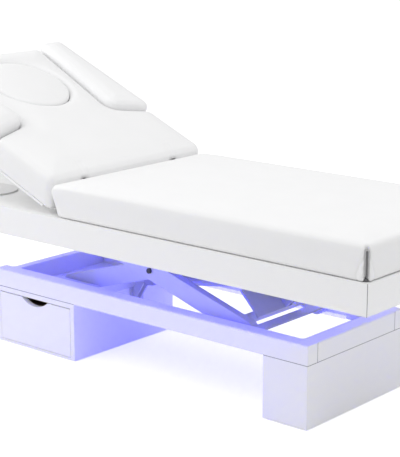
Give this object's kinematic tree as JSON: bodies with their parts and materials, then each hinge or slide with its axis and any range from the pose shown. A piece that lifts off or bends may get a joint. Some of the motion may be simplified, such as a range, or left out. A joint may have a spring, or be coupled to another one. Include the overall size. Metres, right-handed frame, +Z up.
{
  "type": "spa bed",
  "caption": "Adjustable spa bed: white padded couch with tilting backrest, lift-out face plug and side pads, on a scissor lift over a low base with a drawer cabinet and foot block.",
  "frame": {"origin": "centre of the overall length and width of the bed, on the floor", "axes": "+X towards the foot end, +Y towards the side away from the drawer, +Z up"},
  "size_m": [2.03, 0.75, 0.9866],
  "materials": {
    "lacquered_board": "satin white lacquer on board",
    "drawer_board": "clear lacquered plywood",
    "dark_board": "black painted board",
    "white_steel": "white powder coat",
    "dark_steel": "black oxide and black paint",
    "bright_rod": "ground steel",
    "black_plastic": "fine textured black housing",
    "pale_housing": "light grey housing",
    "grey_plastic": "moulded nylon",
    "light_strip": "glowing blue-violet diffuser",
    "pad_rubber": "soft light pad",
    "white_leather": "soft white imitation leather"
  },
  "bodies": {
    "base": {"base_side_rails": "lacquered_board", "base_end_rail_foot": "lacquered_board", "base_end_rail_head": "lacquered_board", "base_cross_bar_foot": "white_steel", "base_roller_channels": "white_steel", "base_pivot_pins": "dark_steel", "foot_block_end_panels": "lacquered_board", "foot_block_side_panels": "lacquered_board", "foot_block_top_panel": "lacquered_board", "cabinet_side_panels": "lacquered_board", "cabinet_top_panel": "lacquered_board", "cabinet_bottom_panel": "lacquered_board", "cabinet_back_panel": "lacquered_board", "drawer_runners_fixed": "dark_steel", "base_light_strips": "light_strip", "floor_glides": "pad_rubber", "lift_actuator_bracket": "white_steel"},
    "drawer": {"drawer_front": "lacquered_board", "drawer_sides": "drawer_board", "drawer_back": "drawer_board", "drawer_bottom": "drawer_board", "drawer_runners_moving": "dark_steel"},
    "outer_arms": {"outer_arm_near": "white_steel", "outer_arm_far": "white_steel", "scissor_centre_bolts": "dark_steel", "lift_lever": "white_steel"},
    "inner_arms": {"inner_arm_near": "white_steel", "inner_arm_far": "white_steel", "inner_arm_cross_tube": "white_steel"},
    "lower_rollers": {"lower_rollers": "grey_plastic"},
    "upper_rollers": {"upper_rollers": "grey_plastic"},
    "platform": {"platform_side_aprons": "lacquered_board", "platform_end_aprons": "lacquered_board", "platform_deck": "lacquered_board", "platform_subframe_rails": "white_steel", "platform_cross_tubes": "white_steel", "subframe_screws": "dark_steel", "platform_pivot_lugs": "white_steel", "platform_hinge_brackets": "dark_steel", "hinge_pins": "dark_steel", "platform_light_strips": "light_strip", "backrest_rest_pads": "pad_rubber", "seat_board": "dark_board", "seat_cushion": "white_leather", "control_box": "black_plastic", "power_inlet": "black_plastic", "backrest_actuator_housing": "black_plastic", "backrest_actuator_clamps": "dark_steel"},
    "backrest": {"backrest_board": "dark_board", "backrest_cushion": "white_leather", "backrest_hinge_brackets": "dark_steel", "backrest_lever": "dark_steel"},
    "side_pad_near": {"side_pad_near": "white_leather", "side_pad_base_near": "grey_plastic"},
    "side_pad_far": {"side_pad_far": "white_leather", "side_pad_base_far": "grey_plastic"},
    "face_plug": {"face_plug": "white_leather"},
    "lift_actuator": {"lift_actuator_housing": "pale_housing"},
    "lift_rod": {"lift_actuator_rod": "bright_rod"},
    "backrest_rod": {"backrest_actuator_rod": "bright_rod"}
  },
  "joints": [
    {"name": "lift", "type": "hinge", "parent": "base", "child": "outer_arms", "pos_m": [0.453, 0, 0.24], "axis": [0, 1, 0], "range_deg": [-5.5, 18.5]},
    {"name": "scissor_centre", "type": "hinge", "parent": "outer_arms", "child": "inner_arms", "pos_m": [0.053, 0, 0.361], "axis": [0, 1, 0], "range_deg": [-37, 11]},
    {"name": "platform_level", "type": "hinge", "parent": "inner_arms", "child": "platform", "pos_m": [0.453, 0, 0.482], "axis": [0, 1, 0], "range_deg": [-5.5, 18.5]},
    {"name": "lower_roller_spin", "type": "hinge", "parent": "inner_arms", "child": "lower_rollers", "pos_m": [-0.347, 0, 0.24], "axis": [0, 1, 0], "continuous": true},
    {"name": "upper_roller_spin", "type": "hinge", "parent": "outer_arms", "child": "upper_rollers", "pos_m": [-0.347, 0, 0.482], "axis": [0, 1, 0], "continuous": true},
    {"name": "backrest_tilt", "type": "hinge", "parent": "platform", "child": "backrest", "pos_m": [-0.205, 0, 0.624], "axis": [0, 1, 0], "range_deg": [-23.1, 40]},
    {"name": "side_pad_near_lift", "type": "slide", "parent": "backrest", "child": "side_pad_near", "axis": [0.3923, 0, 0.9198], "range_m": [0, 0.12]},
    {"name": "side_pad_far_lift", "type": "slide", "parent": "backrest", "child": "side_pad_far", "axis": [0.3923, 0, 0.9198], "range_m": [0, 0.12]},
    {"name": "face_plug_lift", "type": "slide", "parent": "backrest", "child": "face_plug", "axis": [0.3923, 0, 0.9198], "range_m": [0, 0.15]},
    {"name": "drawer_slide", "type": "slide", "parent": "base", "child": "drawer", "axis": [0, -1, 0], "range_m": [0, 0.35]},
    {"name": "lift_actuator_swing", "type": "hinge", "parent": "base", "child": "lift_actuator", "pos_m": [-0.2, 0.05, 0.24], "axis": [0, 1, 0], "range_deg": [-1.2, 2.6]},
    {"name": "lift_rod_slide", "type": "slide", "parent": "lift_actuator", "child": "lift_rod", "axis": [0.9879, 0, 0.155], "range_m": [-0.0105, 0.0315]},
    {"name": "backrest_rod_slide", "type": "slide", "parent": "platform", "child": "backrest_rod", "axis": [-1, 0, 0], "range_m": [-0.064, 0.109]}
  ],
  "couplings": [
    {"joint": "scissor_centre", "follows": "lift", "ratio": -2},
    {"joint": "platform_level", "follows": "lift", "ratio": 1},
    {"joint": "lift_actuator_swing", "follows": "lift", "ratio": 0.1029},
    {"joint": "lift_rod_slide", "follows": "lift", "m_per_rad": 0.0936},
    {"joint": "backrest_rod_slide", "follows": "backrest_tilt", "m_per_rad": 0.152}
  ]
}
